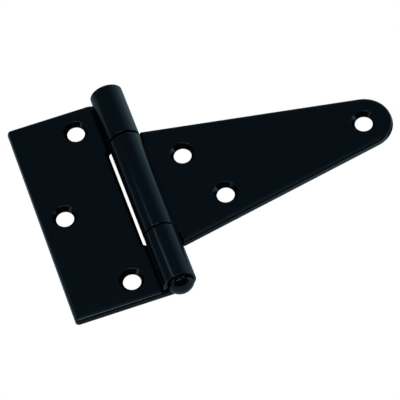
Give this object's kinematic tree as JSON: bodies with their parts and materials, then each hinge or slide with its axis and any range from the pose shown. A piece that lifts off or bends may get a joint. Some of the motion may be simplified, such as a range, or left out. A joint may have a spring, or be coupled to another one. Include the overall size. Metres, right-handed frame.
{
  "type": "t hinge",
  "caption": "T hinge: a long tapered strap leaf with a round tip and a wide butt leaf, both with countersunk screw holes, rolled round a riveted pin.",
  "frame": {"origin": "on the mounting plane (the backs of both leaves), straight below the pin and level with the middle of the butt leaf: the point a fitter sets out from, with the pin line over the gap between post and gate", "axes": "+X towards the strap's round tip, +Y along the pin, +Z out of the mounting plane towards the front of the open hinge, which lies flat"},
  "size_m": [0.1527, 0.1033, 0.0139],
  "materials": {
    "leaf_coating": "satin black powder coat with a fine orange-peel texture",
    "pin_coating": "satin black coat over the riveted heads"
  },
  "bodies": {
    "butt_side": {"butt_leaf": "leaf_coating", "hinge_pin": "pin_coating"},
    "strap_side": {"strap_leaf": "leaf_coating"}
  },
  "joints": [
    {"name": "strap_swing", "type": "hinge", "parent": "butt_side", "child": "strap_side", "pos_m": [0, 0, 0.00695], "axis": [0, -1, 0], "range_deg": [-90, 180]}
  ]
}
